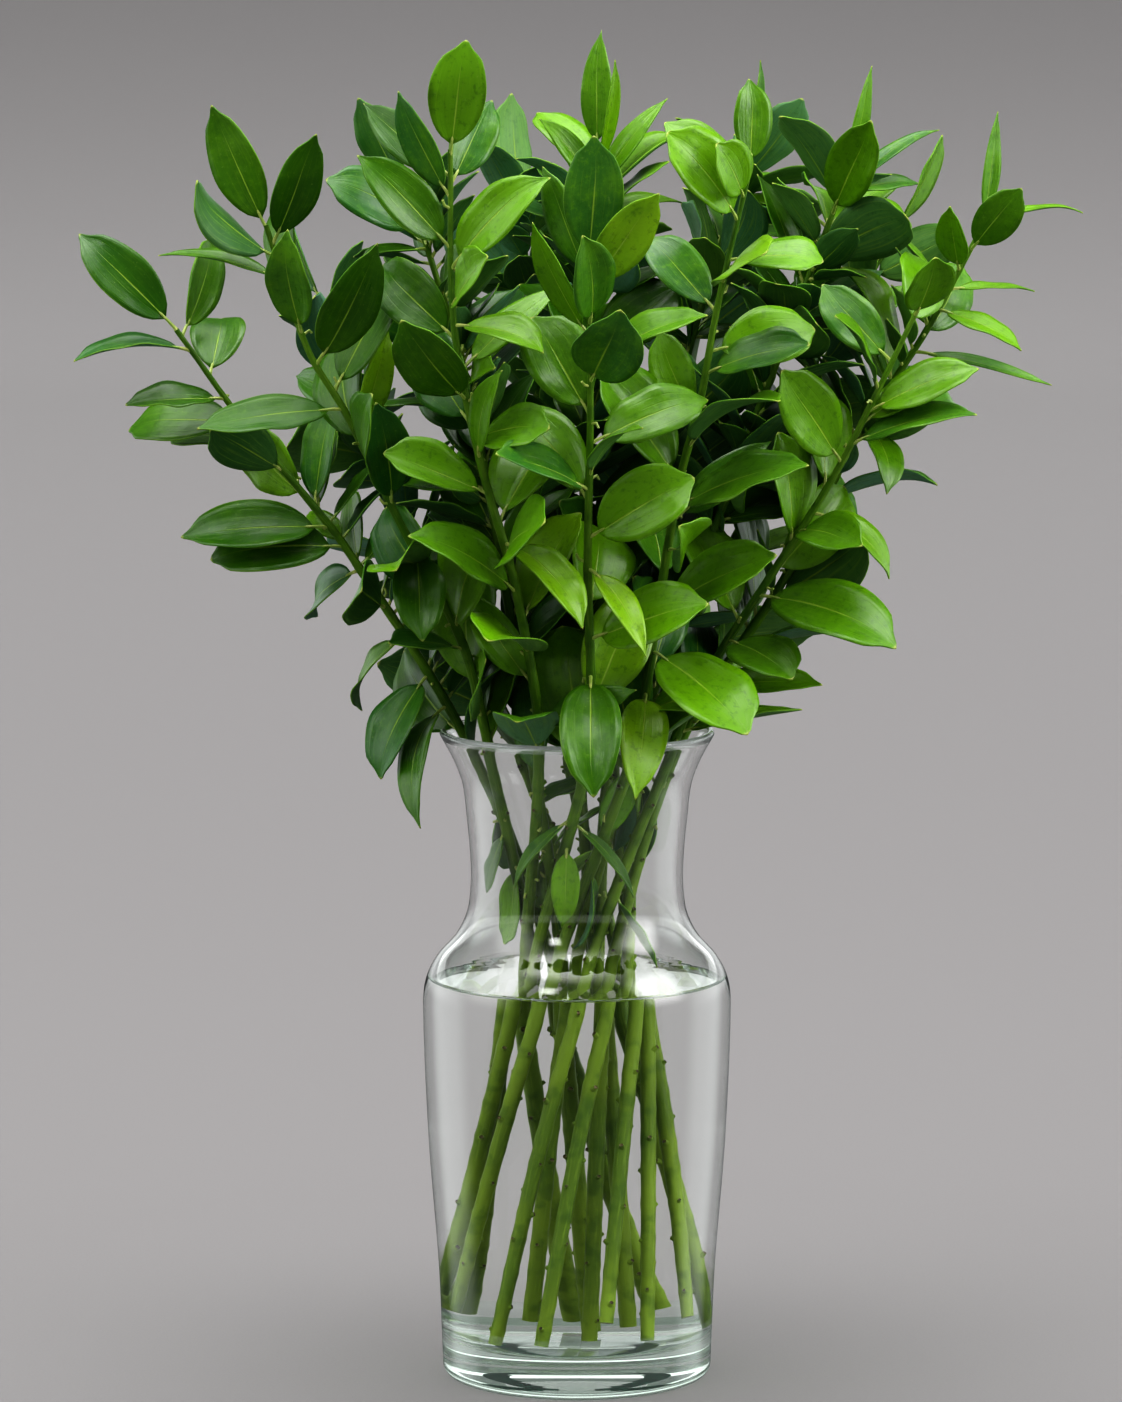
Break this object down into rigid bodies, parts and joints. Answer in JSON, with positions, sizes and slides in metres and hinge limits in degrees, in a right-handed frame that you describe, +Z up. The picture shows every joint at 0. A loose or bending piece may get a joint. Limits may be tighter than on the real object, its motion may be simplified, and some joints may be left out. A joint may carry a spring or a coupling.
{
  "type": "vase of ruscus stems",
  "caption": "Bunch of cut broad-leaved ruscus stems standing upright in a flared clear glass vase half full of water.",
  "frame": {"origin": "middle of the vase's underside, on the surface that it stands on", "axes": "+Z up along the vase's axis, -Y toward the side that the picture shows, +X to the right"},
  "size_m": [0.399, 0.2376, 0.541],
  "materials": {
    "vase_glass": "clear polished glass, faintly green in the thick foot",
    "water": "still clear water",
    "leaf_green": "waxy green leaf and stalk"
  },
  "bodies": {
    "root": {"vase": "vase_glass", "water": "water", "ruscus_stem_01": "leaf_green", "ruscus_stem_02": "leaf_green", "ruscus_stem_03": "leaf_green", "ruscus_stem_04": "leaf_green", "ruscus_stem_05": "leaf_green", "ruscus_stem_06": "leaf_green", "ruscus_stem_07": "leaf_green", "ruscus_stem_08": "leaf_green", "ruscus_stem_09": "leaf_green", "ruscus_stem_10": "leaf_green", "ruscus_stem_11": "leaf_green", "ruscus_stem_12": "leaf_green", "ruscus_stem_13": "leaf_green", "ruscus_stem_14": "leaf_green", "ruscus_stem_15": "leaf_green"}
  },
  "joints": []
}
